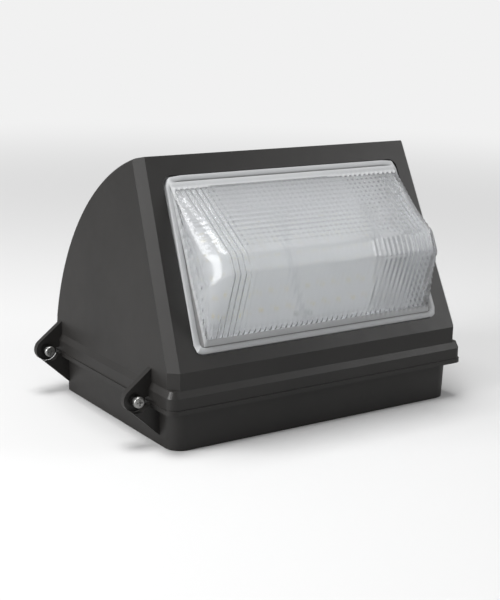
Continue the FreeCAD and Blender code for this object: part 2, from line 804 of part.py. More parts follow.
def hood_form(name, inset, low, roof_round=None):
    """The body of the hood, with each wall set in by the same amount."""
    inset, top = as_size(inset), size("hood_height")
    side = outline_on("YZ", name + "_side")
    foot = on_slope(inset * ((as_size(1) - slope_sin) / slope_cos), -inset)
    ridge = on_slope(slope_length - inset * size("ridge_mitre"), -inset)
    back_y = wall_half_y - inset
    corners = ((foot_y + inset, low), foot, ridge, (back_y, size("roof_end_height")),
               (back_y, low))
    spots = [Vector(as_size(y).value, as_size(z).value, 0) for y, z in corners]
    roof_radius = size("roof_radius") - inset
    chord = spots[3] - spots[2]
    inward = Vector(chord.y, -chord.x, 0).normalize() * -1
    reach = math.sqrt(roof_radius.value ** 2 - chord.Length ** 2 / 4)
    centre = (spots[2] + spots[3]) * 0.5 - inward * reach
    turns = [math.atan2(spot.y - centre.y, spot.x - centre.x) for spot in (spots[3], spots[2])]
    for start, end in ((0, 1), (1, 2), (3, 4), (4, 0)):
        side.addGeometry(Part.LineSegment(spots[start], spots[end]), False)
    ring = Part.Circle(centre, Vector(0, 0, 1), roof_radius.value)
    roof = side.addGeometry(Part.ArcOfCircle(ring, *turns), False)
    for joint in ((0, 2, 1, 1), (1, 2, roof, 2), (roof, 1, 2, 1), (2, 2, 3, 1), (3, 2, 0, 1)):
        side.addConstraint(Sketcher.Constraint("Coincident", *joint))
    for curve, corner in ((0, 0), (1, 1), (2, 3), (3, 4)):
        hold(side, curve, 1, *corners[corner])
    hold(side, 1, 2, *corners[2])
    constrain(side, roof_radius, "Radius", roof)
    face = outline_on("XZ", name + "_face")
    half, top_half = wall_half_x - inset, size("hood_top_width") / 2 - inset
    polygon(face, [(-half, low), (half, low), (half, size("foot_height")), (top_half, top),
                   (-top_half, top), (-half, size("foot_height"))])
    prisms = [prism(name + "_along", side, flange_half_x * 2, middle=True),
              prism(name + "_across", face, back_y * 2, middle=True)]
    body = shared(name + "_body", prisms)
    if roof_round:
        body = rounded(name + "_rounded", body, roof_round, on_the_roof)
    return shared(name, [body] + hood_bevels(name, inset))


def on_the_roof(edge):
    """The two curved edges where the roof meets the sides."""
    return edge.Curve.TypeId != "Part::GeomLine"


def hood_bevels(name, inset):
    """Two solids that bevel the front side edges: of the slope and of the upright wall."""
    reach, spare = size("bevel"), size("bevel") * 2
    ends = []
    for end, along in (("foot", -spare * 2), ("top", slope_length + spare * 2)):
        lean_in = (wall_half_x - size("hood_top_width") / 2) / slope_length
        half = wall_half_x - lean_in * along - inset * math.sqrt(2)
        half_out, deep = half + spare, -reach - spare
        far = -size("hood_height") * 1.5
        ends.append([(x, along, out) for x, out in (
            (half - reach - spare, spare), (half_out, deep), (half_out, far),
            (-half_out, far), (-half_out, deep), (-half + reach + spare, spare))])
    sloped = tapered(name + "_slope_bevel", *ends)
    reach_back = reach / slope_sin
    set_in = inset * (reach * reach + reach_back * reach_back).root() / reach_back
    half = wall_half_x - set_in
    corner = outline_on("XY", name + "_corner_bevel", parting)
    slant = spare / reach * reach_back
    front_y, side_y = foot_y - slant, foot_y + reach_back + slant
    polygon(corner, [(-half + reach + spare, front_y), (half - reach - spare, front_y),
                     (half + spare, side_y), (half + spare, flange_half_y),
                     (-half - spare, flange_half_y), (-half - spare, side_y)])
    upright = prism(name + "_upright_bevel", corner, size("hood_height"))
    return [to_slope(sloped), upright]


hood_block = hood_form("hood_block", 0, parting + size("flange_height") / 2, size("roof_round"))
wall = size("hood_wall")
hollow = hood_form("hood_hollow", wall, flange_top - size("flange_height") / 2 - wall)
outline = rounded_rectangle(outline_on("XY", "flange_outline", parting), flange_half_x,
                            flange_half_y, size("flange_corner"))
flange = prism("flange_slab", outline, size("flange_height"))
lean = math.degrees(math.atan2(size("flange_step").value, size("flange_slope_height").value))
outline = rounded_rectangle(outline_on("XY", "flange_shoulder", flange_top), flange_half_x,
                            flange_half_y, size("flange_corner"))
shoulder = prism("flange_shoulder_slab", outline, size("flange_slope_height"), taper=-lean)
outline = rounded_rectangle(outline_on("XY", "hood_mouth", parting), mouth_half_x, mouth_half_y,
                            mouth_corner)
mouth = prism("hood_mouth_room", outline, size("flange_height") + size("flange_slope_height"))

closing_pads = []
closing_web = size("closing_boss") * size("web_share")
for end, y in closing_ys.items():
    closing_pads.append(rod("closing_pad_" + end, size("closing_boss"), size("flange_height"),
                            closing_x, y, parting))
    closing_pads.append(block("closing_pad_web_" + end, closing_x - mouth_half_x - wall,
                              closing_web, size("flange_height"), mouth_half_x + wall,
                              y - closing_web / 2, parting))
closing_throughs = [rod("closing_through_" + end,
                        size("closing_radius") + size("closing_clearance"),
                        size("flange_height"), closing_x, y, parting)
                    for end, y in closing_ys.items()]


# the glass and its opening, in the slope frame
def glass_outline(name, grow, offset=0):
    """The tapered outline of the glass rim with rounded corners, set off by an amount."""
    foot, top = size("glass_foot"), size("glass_foot") + size("glass_length")
    half_foot, half_top = size("glass_foot_width") / 2, size("glass_top_width") / 2
    sharp = polygon(outline_on("XY", name + "_sharp", offset),
                    [(-half_foot, foot), (half_foot, foot), (half_top, top), (-half_top, top)])
    inner = moved_outline(name + "_inner", sharp, -size("glass_corner"))
    return moved_outline(name, inner, size("glass_corner") + grow, round_corners=True)


opening = to_slope(group("glass_opening", [prism(
    "opening_slab", glass_outline("opening_outline", size("glass_gap")), wall * 6, middle=True)]))

flange_back = wall + size("lens_gasket_thick") + size("glass_flange_thick")
seat_out = size("glass_flange") + size("clip_boss") + size("clip_from_glass")
half_at_foot, half_at_top = size("glass_foot_width") / 2, size("glass_top_width") / 2
side_taper = (half_at_foot - half_at_top) / size("glass_length")
side_middle = size("glass_foot") + size("glass_length") / 2
clip_places = []
for side in MOUNT_SIDES:
    for step in CLIP_STEPS:
        along = side_middle + size("clip_spread") * step
        half = half_at_foot - side_taper * (along - size("glass_foot"))
        clip_places.append(((half + seat_out) * side, along, side, 0))
for side in MOUNT_SIDES:
    clip_places.append((size("clip_top_spread") * side,
                        size("glass_foot") + size("glass_length") + seat_out, 0, 1))

clip_bosses, clip_holes, clips, clip_screws = [], [], [], []
for number, (x, along, across, up) in enumerate(clip_places):
    boss_height = flange_back - wall / 2
    clip_bosses.append(rod("clip_boss_%d" % number, size("clip_boss"), boss_height, x, along,
                           -flange_back))
    clip_holes.append(rod("clip_hole_%d" % number, size("clip_screw") + size("plug_gap"),
                          size("clip_screw_length"), x, along, -flange_back))
    long_side, short_side = size("clip_length"), size("clip_width")
    width, length = (long_side, short_side) if across else (short_side, long_side)
    inward = (size("clip_boss") + size("glass_flange")) - long_side / 2
    plate = block("clip_plate_%d" % number, width, length, size("clip_thick"),
                  as_size(x) - width / 2 - inward * across, along - length / 2 - inward * up,
                  -flange_back - size("clip_thick"))
    hole = rod("clip_eye_%d" % number, size("clip_screw") + size("plug_gap"), size("clip_thick"),
               x, along, -flange_back - size("clip_thick"))
    clips.append(cut("clip_%d" % number, plate, [hole]))
    lift = size("pan_thick") if along.value != side_middle.value and across else as_size(0)
    clip_screws.append(screw("clip_screw_%d" % number, size("clip_screw"),
                             size("clip_screw_length"), size("clip_screw_head"),
                             size("clip_screw_head_height"), x, along,
                             -flange_back - size("clip_thick") - lift, DOWN))

hood_whole = join("hood_whole", [hood_block, flange, shoulder])
hood_shell = cut("hood_shell", hood_whole, [hollow, mouth, opening])
bosses = cut("clip_bosses_drilled", to_slope(group("clip_boss_set", clip_bosses)),
             [to_slope(group("clip_hole_set", clip_holes))])
hood_solid = join("hood_solid", [hood_shell, bosses] + closing_pads + hood_lugs)
keep("hood", cut("hood_cut", hood_solid, closing_throughs + [
    rod("hood_pin_hole_" + end, size("pin_radius") + size("pin_clearance"), lug_pitch * 4,
        hinge_x, front - lug_pitch, hinge_z, TO_BACK) for end, front in lug_fronts.items()]))

gasket_slab = prism("lens_gasket_slab",
                    glass_outline("lens_gasket_out", size("glass_flange"),
                                  -wall - size("lens_gasket_thick")),
                    size("lens_gasket_thick"))
gasket_room = prism("lens_gasket_room",
                    glass_outline("lens_gasket_in", size("glass_gap"),
                                  -wall - size("lens_gasket_thick")),
                    size("lens_gasket_thick"))
keep("lens_gasket", to_slope(cut("lens_gasket_ring", gasket_slab, [gasket_room])))


def dome(name, inset, low):
    """The two-faced body of the glass, with each face set in by the same amount."""
    inset = as_size(inset)
    foot = size("glass_foot") + size("glass_rim")
    top = size("glass_foot") + size("glass_length") - size("glass_rim")
    crest, proud = size("crest_height"), size("glass_proud")
    lower_run, upper_run = size("crest_low") - foot, top - size("crest_high")
    rise = crest - proud
    lower_slant = (lower_run * lower_run + rise * rise).root() / rise
    upper_slant = (upper_run * upper_run + rise * rise).root() / rise
    lower_lean, upper_lean = lower_run / rise, upper_run / rise
    crest = crest - inset
    fold_low = size("crest_low") + inset * (lower_slant - lower_lean)
    fold_high = size("crest_high") - inset * (upper_slant - upper_lean)
    foot = foot + inset * lower_slant - lower_lean * (proud - low)
    top = top - inset * upper_slant + upper_lean * (proud - low)
    side = polygon(outline_on("YZ", name + "_side"),
                   [(foot, low), (fold_low, crest), (fold_high, crest), (top, low)])
    half = half_at_foot - side_taper * (size("glass_length") / 2) - size("glass_rim") - inset
    half_crest = half - size("crest_half_end")
    round_off = size("glass_round") - inset
    face = polygon(outline_on("XZ", name + "_face"),
                   [(-half, low), (half, low), (half, proud), (half_crest, crest - round_off),
                    (half_crest - round_off, crest), (round_off - half_crest, crest),
                    (-half_crest, crest - round_off), (-half, proud)])
    return shared(name, [prism(name + "_along", side, size("glass_foot_width"), middle=True),
                         prism(name + "_across", face, size("glass_length") * 4, middle=True)])


flange_low = -wall - size("lens_gasket_thick") - size("glass_flange_thick")
dome_out = dome("dome_out", 0, as_size(0))
dome_in = dome("dome_in", size("glass_wall"), flange_low)
glass_plate = prism("glass_plate", glass_outline("glass_plate_outline", size("glass_flange"),
                                                 flange_low), size("glass_flange_thick"))
glass_rim = prism("glass_rim_slab", glass_outline("glass_rim_outline", 0, flange_low),
                  size("glass_proud") - flange_low)
glass_solid = join("glass_solid", [glass_plate, glass_rim, dome_out])
keep("glass_refractor", to_slope(cut("glass_hollow", glass_solid, [dome_in])))

keep("lens_clips", to_slope(group("clip_set", clips)))
keep("lens_clip_screws", to_slope(group("clip_screw_set", clip_screws)))

# white funnel from the clips to a window round the boards
pan_top = flange_low - size("clip_thick")
window_half = size("pan_window_width") / 2
window_low, window_high = size("pan_window_low"), size("pan_window_high")
pan_foot = size("glass_foot") + size("pan_inset")
pan_head = size("glass_foot") + size("glass_length") - size("pan_inset")
pan_half = half_at_top - size("pan_inset")


def funnel(name, grow):
    """A four-sided funnel between the rim and the window of the pan."""
    rings = []
    for height, half, low, high in ((pan_top, pan_half, pan_foot, pan_head),
                                    (pan_top - size("pan_deep"), window_half, window_low,
                                     window_high)):
        half, low, high = half + grow, low - grow, high + grow
        rings.append([(-half, low, height), (half, low, height), (half, high, height),
                      (-half, high, height)])
    return tapered(name, *rings)


pan_tabs, pan_holes = [], []
for number, (x, along, across, up) in enumerate(clip_places):
    if not across or along.value == side_middle.value:
        continue
    tab_out, tab_in = abs(x.value) + size("pan_tab").value / 2, pan_half.value
    tab_length = tab_out - tab_in
    left = tab_in if across > 0 else -tab_out
    pan_tabs.append(block("pan_tab_%d" % number, tab_length, size("pan_tab"), size("pan_thick"),
                          left, along - size("pan_tab") / 2, pan_top - size("pan_thick")))
    pan_holes.append(rod("pan_hole_%d" % number, size("clip_screw") + size("plug_gap"),
                         size("pan_thick"), x, along, pan_top - size("pan_thick")))
pan_body = join("pan_body", [funnel("funnel_out", size("pan_thick"))] + pan_tabs)
keep("reflector_pan", to_slope(cut("pan_cut", pan_body, [funnel("funnel_in", 0)] + pan_holes)))


# ---- light source --------------------------------------------------------------------
# A bent metal carrier stands on four posts behind the glass and holds two boards of chips.

carrier_top = -size("carrier_deep")
carrier_back = carrier_top - size("carrier_thick")
foot_top = size("box_floor") + size("post_height") + size("carrier_thick")
foot_base = size("box_floor") + size("post_height")
low_end = on_slope(size("carrier_low"), carrier_back)
high_end = on_slope(size("carrier_high"), carrier_back)
plate = block("carrier_plate", size("carrier_width"), size("carrier_high") - size("carrier_low"),
              size("carrier_thick"), size("carrier_width") / -2, size("carrier_low"),
              carrier_back)
plate = to_slope(group("carrier_slope", [plate]))
carrier_parts = [plate]
for end, (edge_y, edge_z), overlap in (
        ("front", low_end, size("carrier_thick") * slope_cos),
        ("rear", high_end, as_size(0))):
    leg_y = edge_y - size("carrier_thick") * slope_sin
    for side in MOUNT_SIDES:
        left = posts_x * side - size("carrier_leg") / 2
        carrier_parts.append(block("carrier_leg_%s_%d" % (end, side + 1), size("carrier_leg"),
                                   size("carrier_thick"), edge_z + overlap - foot_base, left,
                                   leg_y, foot_base))
        carrier_parts.append(block("carrier_foot_%s_%d" % (end, side + 1), size("carrier_leg"),
                                   size("carrier_foot"), size("carrier_thick"), left, leg_y,
                                   foot_base))
carrier_screw_places = [(posts_x * side, y) for side in MOUNT_SIDES for y in posts_y]
small_hole = size("small_screw") + size("plug_gap")
foot_holes = [rod("carrier_hole_%d" % number, small_hole, size("carrier_thick"), x, y, foot_base)
              for number, (x, y) in enumerate(carrier_screw_places)]


def small_screws(name, places, height, length, rotation=None):
    return [screw("%s_%d" % (name, number), size("small_screw"), length,
                  size("small_screw_head"), size("small_screw_head_height"), x, y, height,
                  rotation) for number, (x, y) in enumerate(places)]


keep("carrier_screws", group("carrier_screw_set", small_screws(
    "carrier_screw", carrier_screw_places, foot_top, size("post_height"))))

board_screw_places = {}
board_top = carrier_top + size("board_thick")
board_back_holes = []
for side, label in ((-1, "left"), (1, "right")):
    left = (size("board_apart") / 2 if side > 0
            else -size("board_apart") / 2 - size("board_width"))
    slab = block("board_slab_" + label, size("board_width"), size("board_length"),
                 size("board_thick"), left, size("board_low"), carrier_top)
    edge = size("board_corner")
    places = [(left + x, size("board_low") + along)
              for x in (edge, size("board_width") - edge)
              for along in (edge, size("board_length") - edge)]
    board_screw_places[label] = places
    holes = [rod("board_hole_%s_%d" % (label, number), small_hole, size("board_thick"), x,
                 along, carrier_top) for number, (x, along) in enumerate(places)]
    board_back_holes += [rod("carrier_thread_%s_%d" % (label, number), small_hole,
                             size("carrier_thick"), x, along, carrier_back)
                         for number, (x, along) in enumerate(places)]
    keep("led_board_" + label, to_slope(cut("board_" + label, slab, holes)))
    chips = []
    for column in range(CHIP_COLUMNS):
        for row in range(CHIP_ROWS):
            x = left + size("board_width") / 2 - size("chip_side") / 2 \
                + size("chip_pitch_across") * (column - (CHIP_COLUMNS - 1) / 2)
            along = size("board_low") + size("board_length") / 2 - size("chip_side") / 2 \
                + size("chip_pitch_along") * (row - (CHIP_ROWS - 1) / 2)
            chips.append(block("chip_%s_%d_%d" % (label, column, row), size("chip_side"),
                               size("chip_side"), size("chip_thick"), x, along, board_top))
    keep("led_chips_" + label, to_slope(group("chips_" + label, chips)))
board_places = board_screw_places["left"] + board_screw_places["right"]
keep("board_screws", to_slope(group("board_screw_set", small_screws(
    "board_screw", board_places, board_top, size("board_screw_length")))))
carrier = cut("carrier_cut", join("carrier_whole", carrier_parts),
              foot_holes + [to_slope(group("carrier_thread_set", board_back_holes))])
keep("led_carrier", carrier)


# ---- driver and wiring ---------------------------------------------------------------
# The driver stands on two pads; its leads run to the boards and to the terminal block.

driver_base = size("box_floor") + size("driver_pad_height")
driver_left = size("driver_length") / -2
driver_low_y = size("driver_middle") - size("driver_width") / 2
driver_block = block("driver_block", size("driver_length"), size("driver_width"),
                     size("driver_height"), driver_left, driver_low_y, driver_base)
keep("driver_case", rounded("driver_rounded", driver_block, size("driver_round"),
                            lambda edge: edge.BoundBox.XLength > size("driver_length").value - 1))
driver_screw_places = [(driver_screw_x * side, size("driver_middle")) for side in MOUNT_SIDES]
caps = []
for side in MOUNT_SIDES:
    name = "driver_cap_%d" % (side + 1)
    start = size("driver_length") / 2 if side > 0 else driver_left - size("driver_cap")
    cap = block(name, size("driver_cap"), size("driver_width"), size("driver_height"), start,
                driver_low_y, driver_base)
    cap = rounded(name + "_rounded", cap, size("driver_round"),
                  lambda edge: edge.BoundBox.XLength > size("driver_cap").value - 1)
    foot_left = (size("driver_length") / 2 + size("driver_cap") if side > 0
                 else driver_left - size("driver_cap") - size("driver_foot"))
    ear = block(name + "_foot", size("driver_foot"), size("driver_foot"),
                size("driver_foot_thick"), foot_left,
                size("driver_middle") - size("driver_foot") / 2, driver_base)
    ear_hole = rod(name + "_hole", small_hole, size("driver_foot_thick"), driver_screw_x * side,
                   size("driver_middle"), driver_base)
    caps.append(cut(name + "_cut", join(name + "_whole", [cap, ear]), [ear_hole]))
keep("driver_end_caps", group("driver_cap_pair", caps))
keep("driver_screws", group("driver_screw_pair", small_screws(
    "driver_screw", driver_screw_places, driver_base + size("driver_foot_thick"),
    size("driver_foot_thick") + size("driver_pad_height"))))

terminal_half = size("terminal_length") / 2
terminal_front = size("terminal_y") - size("terminal_width") / 2
terminal_back = size("terminal_y") + size("terminal_width") / 2
terminal_body = block("terminal_body", size("terminal_length"), size("terminal_width"),
                      size("terminal_height"), size("terminal_x") - terminal_half,
                      terminal_front, size("box_floor"))
terminal_places = [(size("terminal_x") + terminal_screw_x * side, size("terminal_y"))
                   for side in MOUNT_SIDES]
terminal_wings, terminal_eyes = [], []
for number, (x, y) in enumerate(terminal_places):
    terminal_wings.append(block("terminal_wing_%d" % number, size("terminal_wing"),
                                size("terminal_width"), size("terminal_wing_thick"),
                                x - size("terminal_wing") / 2, terminal_front,
                                size("box_floor")))
    terminal_eyes.append(rod("terminal_eye_%d" % number, small_hole,
                             size("terminal_wing_thick"), x, y, size("box_floor")))
pole_pitch = size("terminal_length") / 3
pole_radius = size("small_screw_head") + size("pole_gap")
poles = [(size("terminal_x") + pole_pitch * step,
          size("terminal_y") + size("terminal_width") / 4 * side)
         for step in (-1, 0, 1) for side in MOUNT_SIDES]
pole_wells = [rod("pole_well_%d" % number, pole_radius, size("pole_deep"), x, y,
                  size("box_floor") + size("terminal_height") - size("pole_deep"))
              for number, (x, y) in enumerate(poles)]
pole_threads = [rod("pole_thread_%d" % number, small_hole, size("pole_screw_length"), x, y,
                    size("box_floor") + size("terminal_height") - size("pole_deep")
                    - size("pole_screw_length")) for number, (x, y) in enumerate(poles)]
keep("terminal_block", cut("terminal_cut", join("terminal_whole", [terminal_body] + terminal_wings),
                           terminal_eyes + pole_wells + pole_threads))
keep("terminal_screws", group("terminal_screw_set", small_screws(
    "terminal_screw", poles, size("box_floor") + size("terminal_height") - size("pole_deep"),
    size("pole_screw_length"))))
keep("terminal_fixings", group("terminal_fixing_set", small_screws(
    "terminal_fixing", terminal_places, size("box_floor") + size("terminal_wing_thick"),
    size("terminal_wing_thick") + size("box_floor") / 2)))

ground_top = size("box_floor") + size("ground_boss_height")
ring_plate = rod("ground_ring_plate", size("ground_boss"), size("ground_ring_thick"),
                 size("ground_x"), size("ground_y"), ground_top)
ring_eye = rod("ground_ring_eye", small_hole, size("ground_ring_thick"), size("ground_x"),
               size("ground_y"), ground_top)
keep("ground_ring", cut("ground_ring_cut", ring_plate, [ring_eye]))
keep("ground_screw", screw("ground_screw_cut", size("small_screw"), size("ground_boss_height"),
                           size("small_screw_head"), size("small_screw_head_height"),
                           size("ground_x"), size("ground_y"),
                           ground_top + size("ground_ring_thick")))

# leads: two from the left end of the driver to the boards, two from its right end to the block
lead_radius = size("lead_radius").value
cap_end = (size("driver_length") / 2 + size("driver_cap")).value
lead_z = size("lead_height").value
apart = size("lead_apart").value
near_y = (size("driver_middle") - apart).value
far_y = (size("driver_middle") + apart).value
near_turn = cap_end + size("lead_reach").value
far_turn = near_turn + size("lane_apart").value
near_lane = (driver_low_y - size("lane_gap")).value
far_lane = near_lane - size("lane_apart").value
lanes = (("left", "neutral", -1, near_y, near_turn, near_lane),
         ("right", "line", 1, far_y, far_turn, far_lane))
entry_y, entry_z = on_slope(size("board_low") + size("board_length") / 2, carrier_back)
rise_y = (entry_y + size("lead_in") * slope_sin).value
rise_z = (entry_z - size("lead_in") * slope_cos).value
for board, pole, side, start_y, turn_x, lane in lanes:
    entry_x = side * (size("board_apart") / 2 + size("board_width") / 2).value
    keep("output_lead_" + board, tube("output_lead_shape_" + board, [
        (-cap_end, start_y, lead_z), (-turn_x, start_y, lead_z), (-turn_x, lane, lead_z),
        (entry_x, lane, lead_z), (entry_x, rise_y, rise_z),
        (entry_x, entry_y.value, entry_z.value)], lead_radius))
    pole_x = (size("terminal_x") + pole_pitch * side).value
    pole_z = size("pole_entry").value
    keep("supply_lead_" + pole, tube("supply_lead_shape_" + pole, [
        (cap_end, start_y, lead_z), (turn_x, start_y, lead_z), (turn_x, lane, lead_z),
        (pole_x, lane, pole_z), (pole_x, terminal_back.value, pole_z)], lead_radius))


# ---- closing screws ------------------------------------------------------------------
# Captive screws hold the hood shut: a ring under the flange keeps each one with the hood.

for end, y in closing_ys.items():
    keep("closing_screw_" + end, screw(
        "closing_screw_shape_" + end, size("closing_radius"), size("closing_length"),
        size("closing_head"), size("closing_head_height"), closing_x, y, flange_top))
    drop = flange_top - size("closing_ring_drop")
    disc = rod("closing_ring_disc_" + end, size("closing_ring"), size("closing_ring_thick"))
    eye = rod("closing_ring_eye_" + end, size("closing_radius"), size("closing_ring_thick"))
    keep("closing_ring_" + end, put(cut("closing_ring_cut_" + end, disc, [eye]), closing_x, y,
                                    drop - size("closing_ring_thick")))


# ---- check and write -----------------------------------------------------------------
document.recompute()
for thing in document.Objects:
    if "Invalid" in thing.State or "Error" in thing.State:
        raise ValueError("%s is %s" % (thing.Name, thing.State))
for label, thing in nodes.items():
    if thing.Shape.isNull() or not thing.Shape.isValid():
        raise ValueError("%s has no valid shape" % label)
os.makedirs("parts", exist_ok=True)
for label, thing in nodes.items():
    thing.Shape.exportStep("parts/%s.step" % label)
    print("%-22s %d solids %10.1f mm3" % (label, len(thing.Shape.Solids), thing.Shape.Volume))
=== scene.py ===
import math

import bmesh
import bpy
from mathutils import Matrix, Vector


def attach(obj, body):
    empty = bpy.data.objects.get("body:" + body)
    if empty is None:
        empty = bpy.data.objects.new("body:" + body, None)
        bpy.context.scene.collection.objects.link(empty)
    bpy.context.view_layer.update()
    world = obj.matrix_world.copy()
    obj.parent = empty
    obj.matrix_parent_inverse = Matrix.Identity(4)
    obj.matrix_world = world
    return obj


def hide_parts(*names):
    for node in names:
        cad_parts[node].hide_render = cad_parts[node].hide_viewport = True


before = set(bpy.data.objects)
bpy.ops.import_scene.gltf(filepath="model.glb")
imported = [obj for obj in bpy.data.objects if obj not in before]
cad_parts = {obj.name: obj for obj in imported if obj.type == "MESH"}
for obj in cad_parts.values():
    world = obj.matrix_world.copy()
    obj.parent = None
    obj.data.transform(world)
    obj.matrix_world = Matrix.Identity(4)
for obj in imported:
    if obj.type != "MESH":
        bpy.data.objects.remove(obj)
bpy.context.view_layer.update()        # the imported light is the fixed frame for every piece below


# ---- camera --------------------------------------------------------------------------
# A long lens to the left of the light and a little above it, fitted to the edges of the
# casting, so the sloped front faces right and the left wall shows with both hinge lugs.
camera_data = bpy.data.cameras.new("camera")
camera_data.sensor_width = 36.0
camera_data.lens = 77.65
camera_data.clip_end = 200.0
camera = bpy.data.objects.new("camera", camera_data)
bpy.context.scene.collection.objects.link(camera)
look = Vector((0.54743, 0.79973, -0.24649)).normalized()
across = look.cross(Vector((0.11717, 0.2184, 0.9688))).normalized()
above = across.cross(look)
camera.matrix_world = Matrix((
    (across.x, above.x, -look.x, -0.76153),
    (across.y, above.y, -look.y, -1.09693),
    (across.z, above.z, -look.z, 0.44114),
    (0.0, 0.0, 0.0, 1.0)))
bpy.context.scene.camera = camera
bpy.context.scene.view_settings.view_transform = "Standard"


# ---- studio --------------------------------------------------------------------------
# A plain pale floor under the light, a pale surround, and soft boxes at the left, at the
# right and overhead, which give the dark casting its broad dull highlights.
BACKDROP_LEVEL = 0.88
FLOOR_HALF, FLOOR_LEVEL = 40.0, -0.0004


def new_nodes(name):
    """A fresh node material: its nodes, its links and its surface shader."""
    material = bpy.data.materials.new(name)
    material.use_nodes = True
    tree = material.node_tree
    surface = tree.nodes["Principled BSDF"]
    return material, tree.nodes, tree.links, surface


def paper_floor():
    """Matt near the light, where it takes the shadow, and plain pale paper further out."""
    material, nodes, links, surface = new_nodes("floor_paper")
    rays = nodes.new("ShaderNodeLightPath")
    shade = nodes.new("ShaderNodeMapRange")
    shade.inputs["To Min"].default_value = 0.4
    shade.inputs["To Max"].default_value = 0.80
    links.new(rays.outputs["Is Camera Ray"], shade.inputs["Value"])
    links.new(shade.outputs["Result"], surface.inputs["Base Color"])
    surface.inputs["Roughness"].default_value = 0.95
    surface.inputs["Specular IOR Level"].default_value = 0.1
    place = nodes.new("ShaderNodeTexCoord")
    reach = nodes.new("ShaderNodeVectorMath")
    reach.operation = "LENGTH"
    links.new(place.outputs["Object"], reach.inputs[0])
    far = nodes.new("ShaderNodeMapRange")
    far.interpolation_type = "SMOOTHSTEP"
    far.inputs["From Min"].default_value = 0.45
    far.inputs["From Max"].default_value = 2.6
    links.new(reach.outputs["Value"], far.inputs["Value"])
    paper = nodes.new("ShaderNodeEmission")
    paper.inputs["Strength"].default_value = BACKDROP_LEVEL
    faded_out = nodes.new("ShaderNodeMixShader")
    links.new(far.outputs["Result"], faded_out.inputs["Fac"])
    links.new(surface.outputs["BSDF"], faded_out.inputs[1])
    links.new(paper.outputs["Emission"], faded_out.inputs[2])
    as_seen = nodes.new("ShaderNodeMixShader")
    links.new(rays.outputs["Is Camera Ray"], as_seen.inputs["Fac"])
    links.new(surface.outputs["BSDF"], as_seen.inputs[1])
    links.new(faded_out.outputs["Shader"], as_seen.inputs[2])
    links.new(as_seen.outputs["Shader"], nodes["Material Output"].inputs["Surface"])
    return material


floor_mesh = bpy.data.meshes.new("floor")
floor_mesh.from_pydata([(x * FLOOR_HALF, y * FLOOR_HALF, FLOOR_LEVEL)
                        for x, y in ((-1, -1), (1, -1), (1, 1), (-1, 1))], [], [(0, 1, 2, 3)])
floor = bpy.data.objects.new("floor", floor_mesh)
bpy.context.scene.collection.objects.link(floor)
floor_mesh.materials.append(paper_floor())

world = bpy.data.worlds.new("surround")
bpy.context.scene.world = world
world.use_nodes = True
world_nodes, world_links = world.node_tree.nodes, world.node_tree.links
surround = world_nodes["Background"]
surround.inputs["Color"].default_value = (1.0, 1.0, 1.0, 1.0)
world_rays = world_nodes.new("ShaderNodeLightPath")
seen = world_nodes.new("ShaderNodeMath")
seen.operation = "MAXIMUM"
world_links.new(world_rays.outputs["Is Camera Ray"], seen.inputs[0])
world_links.new(world_rays.outputs["Is Transmission Ray"], seen.inputs[1])
brightness = world_nodes.new("ShaderNodeMapRange")
brightness.inputs["To Min"].default_value = 0.27
brightness.inputs["To Max"].default_value = BACKDROP_LEVEL
world_links.new(seen.outputs[0], brightness.inputs["Value"])
world_links.new(brightness.outputs["Result"], surround.inputs["Strength"])


def soft_box(name, place, aim, width, height, power):
    """A rectangular lamp that faces a point, with its sizes in metres and power in watts."""
    lamp_data = bpy.data.lights.new(name, "AREA")
    lamp_data.shape = "RECTANGLE"
    lamp_data.size, lamp_data.size_y = width, height
    lamp_data.energy = power
    lamp = bpy.data.objects.new(name, lamp_data)
    bpy.context.scene.collection.objects.link(lamp)
    lamp.location = place
    lamp.rotation_euler = (Vector(aim) - Vector(place)).to_track_quat("-Z", "Y").to_euler()


soft_box("soft_box_left", (-2.2, 0.2, 0.90), (-0.1, 0.0, 0.1), 1.6, 1.2, 43.0)
soft_box("soft_box_right", (2.1, -1.4, 1.05), (0.1, 0.0, 0.1), 1.0, 1.0, 14.0)
soft_box("soft_box_top", (-0.3, 0.0, 2.4), (0.0, 0.0, 0.0), 1.2, 1.2, 38.0)


# ---- cast shells ---------------------------------------------------------------------
# The back box and the hood are die-cast aluminium under dark bronze powder coat, which
# leaves a fine orange-peel grain and soft, slightly thin edges.
def grain(nodes, links, scale, detail=3.0):
    """Noise in the piece's own coordinates, so it stays with the piece as it moves."""
    place = nodes.new("ShaderNodeTexCoord")
    noise = nodes.new("ShaderNodeTexNoise")
    noise.inputs["Scale"].default_value = scale
    noise.inputs["Detail"].default_value = detail
    links.new(place.outputs["Object"], noise.inputs["Vector"])
    return noise


def shaded(nodes, links, surface, source, low, high):
    """A colour that follows a source between two shades."""
    shades = nodes.new("ShaderNodeValToRGB")
    for point, place, shade in zip(shades.color_ramp.elements, (0.3, 0.7), (low, high)):
        point.position = place
        point.color = (*shade, 1.0)
    links.new(source, shades.inputs["Fac"])
    links.new(shades.outputs["Color"], surface.inputs["Base Color"])


def bumped(nodes, links, surface, height, strength, depth):
    """Fine relief on a surface, its depth in metres."""
    bump = nodes.new("ShaderNodeBump")
    bump.inputs["Strength"].default_value = strength
    bump.inputs["Distance"].default_value = depth
    links.new(height, bump.inputs["Height"])
    links.new(bump.outputs["Normal"], surface.inputs["Normal"])


def varied_shine(nodes, links, surface, source, low, high):
    """Roughness that follows a source between two values."""
    shine = nodes.new("ShaderNodeMapRange")
    shine.inputs["To Min"].default_value = low
    shine.inputs["To Max"].default_value = high
    links.new(source, shine.inputs["Value"])
    links.new(shine.outputs["Result"], surface.inputs["Roughness"])


